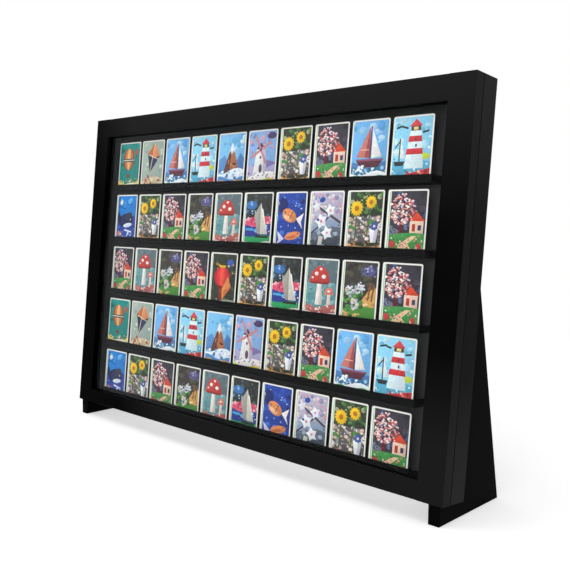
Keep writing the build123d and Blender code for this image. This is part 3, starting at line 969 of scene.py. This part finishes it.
def make_cards(material):
    """The printed cards, a piece for each ledge, where the plain ones stand in the model."""
    columns = [ROWS_SHIFT + CARD_PITCH * (i - (CARDS_PER_ROW - 1) / 2) for i in range(CARDS_PER_ROW)]
    for tier, (floor, designs) in enumerate(zip(LEDGE_FLOORS, ROWS), start=1):
        bm = bmesh.new()
        ink = bm.loops.layers.float_color.new("ink")
        stock = bm.loops.layers.float_color.new("stock")
        for u, design in zip(columns, designs):
            add_card(bm, ink, stock, design, u, floor)
        bmesh.ops.remove_doubles(bm, verts=bm.verts, dist=WELD)
        bm.normal_update()
        cards = add_mesh(f"printed_cards_{tier}", bm, material)
        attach(cards, "case")
        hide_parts(f"card_row_{tier}")


# ---------------------------------------------------------------- screw heads

HEAD_SIDES = 24
HEAD_TURN = 15                               # degrees that set the sides even with the recess
RECESS_REACH = 0.52                          # shares of the head's radius
RECESS_HALF_WIDTH = 0.13
PIT_SHARE = 0.7                              # the recess's floor against its rim
PIT_RISE = 0.15                              # a share of the head's height
# The dome's rings, from its seat up: shares of the head's radius and of its height.
HEAD_DOME = [(1.0, -0.1), (1.0, 0.1), (0.93, 0.5), (0.8, 0.8), (0.62, 0.97)]

# The sizes of the heads: radius and height.
BOARD_SCREW = (2.85, 0.9)
LEG_SCREW = (3.4, 0.9)
HINGE_SCREW = (2.3, 0.15)

PANEL_SCREW_U = SIDE - BOARD + PANEL_OVERLAP / 2
PANEL_SCREW_V = BOARD - PANEL_OVERLAP / 2
PANEL_SCREW_SHARES = (0.15, 0.62, 0.88)      # of the height, up the sides
LEDGE_SCREW_SPACING = ROW_HALF * 0.8
LEDGE_SCREW_RISE = (LIP_HEIGHT - LEDGE_BASE) / 2
LEG_INSET = 5.5                              # from the case's side to the legs' outer faces
LEG_SCREW_U = SIDE - LEG_INSET - 4
LEG_SCREW_PLACE = (245, 66)                  # v and w of the one from behind
FOOT_SCREW_PLACE = (-14, 27)                 # v and w of the one up through the foot
HINGE_INSET = 70                             # from the door's ends to the hinges' middles
HINGE_SCREW_OFFSET = 15
CASE_LEAF_WIDTH = 12
DOOR_LEAF_WIDTH = 16


def add_screw_head(bm, place, facing, radius, height):
    """A domed head with a cross recess; its seat's middle is at place, and it faces that way."""
    across = Vector(facing).orthogonal().normalized()
    over = Vector(facing).cross(across).normalized()

    def corner(x, y, rise):
        return bm.verts.new(place + (across * x + over * y) * MM + facing * rise * MM)

    def ring(share, rise):
        turns = [math.radians(360 * i / HEAD_SIDES - HEAD_TURN) for i in range(HEAD_SIDES)]
        reach = radius * share
        return [corner(reach * math.cos(a), reach * math.sin(a), rise * height) for a in turns]

    long = radius * RECESS_REACH
    thin = radius * RECESS_HALF_WIDTH
    quarter = [(long, -thin), (long, thin), (thin, thin)]
    cross = []
    for _ in range(4):
        cross += quarter
        quarter = [(-y, x) for x, y in quarter]
    rings = [ring(share, rise) for share, rise in HEAD_DOME]
    rim = [corner(x, y, height) for x, y in cross]
    pit = [corner(x * PIT_SHARE, y * PIT_SHARE, height * PIT_RISE) for x, y in cross]
    for lower, upper in zip(rings, rings[1:]):
        for i, j in round_trip(HEAD_SIDES):
            bm.faces.new((lower[i], lower[j], upper[j], upper[i])).smooth = True
    for i, j in round_trip(len(cross)):
        inner = rings[-1]
        bm.faces.new((inner[2 * i], inner[2 * i + 1], inner[2 * j], rim[j], rim[i]))
        # the recess's walls and floor take the second material, near-black painted shade
        bm.faces.new((rim[i], rim[j], pit[j], pit[i])).material_index = 1
    bm.faces.new(pit).material_index = 1
    bm.faces.new(reversed(rings[0]))


def make_heads(materials, name, body, facing, size, places):
    """The heads of the screws of one kind that face one way, as one piece."""
    bm = bmesh.new()
    for place in places:
        add_screw_head(bm, at(*place), facing, *size)
    bm.normal_update()
    heads = add_mesh(name, bm, *materials)
    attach(heads, body)


def make_screw_heads(screws, recess):
    """The heads of every screw that shows, with the recesses in a near-black material of their own, as
    painted shade.
    """
    board_screws = [
        (u, HEIGHT * share, CASE_BACK)
        for u in (-PANEL_SCREW_U, PANEL_SCREW_U)
        for share in PANEL_SCREW_SHARES
    ]
    board_screws += [
        (u, v, CASE_BACK)
        for u in (-SIDE / 3, SIDE / 3)
        for v in (PANEL_SCREW_V, HEIGHT - PANEL_SCREW_V)
    ]
    board_screws += [
        (ROWS_SHIFT + u, floor + LEDGE_SCREW_RISE, CASE_BACK)
        for floor in LEDGE_FLOORS
        for u in (-LEDGE_SCREW_SPACING, 0, LEDGE_SCREW_SPACING)
    ]
    leg_sides = (-LEG_SCREW_U, LEG_SCREW_U)
    leg_screws = [(u, *LEG_SCREW_PLACE) for u in leg_sides]
    foot_screws = [(u, *FOOT_SCREW_PLACE) for u in leg_sides]
    heights = [
        middle + offset
        for middle in (HINGE_INSET, HEIGHT - HINGE_INSET)
        for offset in (-HINGE_SCREW_OFFSET, HINGE_SCREW_OFFSET)
    ]
    case_leaf_screws = [(-SIDE + CASE_LEAF_WIDTH / 2, v, CASE_FRONT) for v in heights]
    door_leaf_screws = [(-SIDE + DOOR_LEAF_WIDTH / 2, v, DOOR_THICKNESS) for v in heights]
    materials = (screws, recess)
    make_heads(materials, "panel_screw_heads", "case", BACK, BOARD_SCREW, board_screws)
    make_heads(materials, "leg_screw_heads", "case", BACK, LEG_SCREW, leg_screws)
    make_heads(materials, "foot_screw_heads", "case", -UP, LEG_SCREW, foot_screws)
    make_heads(materials, "hinge_case_screw_heads", "case", -BACK, HINGE_SCREW, case_leaf_screws)
    make_heads(materials, "hinge_door_screw_heads", "door", BACK, HINGE_SCREW, door_leaf_screws)


# ---------------------------------------------------------------- dressing the model's own pieces

# These place painted light in the paint: painted reflections at the top and bottom, painted shade towards
# the door's left end, a painted highlight on its right end, and painted shade in the seam.
UPWARD = (0, 0, 1)
SLANTED = (1, 0, 0.3)        # to the right and a little up
TOP = 0.58                   # metres up to the middle of the lighter tone at the top
BOTTOM = 0.02                # metres up to the middle of the one at the bottom
FACE = CORNER.dot(BACK)      # the leaning face's own place along BACK
SEAM = FACE + (CASE_FRONT - DOOR_GAP / 2) * MM
REAR = FACE + CASE_BACK * MM
RIGHT_SIDE = CORNER.x + SIDE * MM


def dress(material, *names):
    """Gives the named pieces this material alone."""
    for name in names:
        slots = nodes[name].data.materials
        slots.clear()
        slots.append(material)


def dress_door(seam):
    """The door's frame, with painted light: painted reflections make it lighter towards the top and bottom,
    painted shade makes it darkest at its left end, a painted highlight lightens its right end, and painted
    shade darkens the seam.
    """
    tones = [
        # painted reflections: lighter towards the top and the bottom
        Tone(UPWARD, TOP, reach=0.20, fade=0.20, strength=1.0, colour="1f1f1f"),
        Tone(UPWARD, BOTTOM, reach=0.20, fade=0.12, strength=0.7, colour="1f1f1f"),
        # painted shade: darkest towards the left end
        Tone(SLANTED, -0.40, reach=0.28, fade=0.14, strength=1.0, colour="000000"),
        # a painted highlight on the right end face
        Tone(ACROSS, RIGHT_SIDE, reach=0.6 * MM, fade=0.2 * MM, strength=0.18, colour="3c3c3c"),
        # painted shade in the seam
        seam,
    ]
    paint = painted_wood("black_paint_door", "040404", "070707", roughness=0.34, gloss=0.009, tones=tones)
    dress(paint, "door_top_rail", "door_bottom_rail", "door_left_stile", "door_right_stile")


def dress_case(seam):
    """The case's outer boards, lighter towards the top and bottom too, as painted reflections, with painted
    shade in the seam.
    """
    tones = [
        # painted reflections: lighter towards the top and the bottom
        Tone(UPWARD, TOP, reach=0.20, fade=0.20, strength=1.0, colour="242424"),
        Tone(UPWARD, BOTTOM, reach=0.16, fade=0.16, strength=1.0, colour="262626"),
        # painted shade in the seam
        seam,
    ]
    paint = painted_wood("black_paint_case", "040404", "080808", roughness=0.42, gloss=0.018, tones=tones)
    dress(paint, "case_left_side", "case_right_side", "case_top")


def dress_rest_of_wood():
    """The legs; the bottom board and the glazing's stops, in a darker black that is partly painted shade in
    the opening's reveal; the panel, whose front is painted lighter than its rear as painted light for the
    dim inside; the ledges.
    """
    legs = painted_wood("black_paint_legs", "060606", "0a0a0a", roughness=0.46, gloss=0.006)
    dress(legs, "left_leg", "right_leg")
    # flat black, made darker as painted shade in the opening's reveal
    inside = painted_wood("black_paint_inside_shaded", "030303", "060606", roughness=0.5, gloss=0.01)
    dress(inside, "case_bottom", *[f"glazing_stop_{side}" for side in ("top", "bottom", "left", "right")])
    rear = Tone(BACK, REAR, reach=1.0 * MM, fade=0.2 * MM, strength=1.0, colour="121212")
    # the front's grey, lighter than the black rear, is partly painted light that makes up for the dim inside
    # of the glazed case
    panel = painted_wood("black_paint_panel", "3c3c3d", "424243", roughness=0.48, gloss=0.06, tones=[rear])
    dress(panel, "back_panel")
    ledges = painted_wood("black_paint_ledges", "0f0f0f", "131313", roughness=0.45, gloss=0.03)
    dress(ledges, *[f"shelf_{tier}" for tier in range(1, LEDGE_COUNT + 1)])


def dress_metal(screws):
    """The hinges, the catch and all the fasteners."""
    hinges = metal("black_metal", "38383b", 0.36)
    for level in ("upper", "lower"):
        dress(hinges, f"{level}_hinge_case_leaf", f"{level}_hinge_door_leaf", f"{level}_hinge_pin")
    steel = metal("steel", "b9bbbe", 0.3, stretch=(1, 1, 0.05))
    dress(steel, "catch_magnets", "strike_plates")
    dress(screws, "back_panel_screws", "shelf_screws", "leg_screws")
    dress(screws, "hinge_case_screws", "hinge_door_screws", "stop_brads")


bpy.context.scene.view_settings.view_transform = "Standard"
make_camera()
make_world()
make_lamps()
make_floor()

black_screws = metal("black_screws", "56565a", 0.34)
# near-black paint in the screws' recesses, painted shade
screw_recess_shade = painted_wood("screw_recess_shade", "020202", "040404", roughness=0.6, gloss=0.1)
# painted shade: black along the seam between the door and the case
painted_seam_shade = Tone(BACK, SEAM, reach=1.1 * MM, fade=0.2 * MM, strength=1.0, colour="000000")
dress_door(painted_seam_shade)
dress_case(painted_seam_shade)
dress_rest_of_wood()
dress_metal(black_screws)
dress(glazing_material(), "door_glazing")
make_cards(card_material())
make_screw_heads(black_screws, screw_recess_shade)
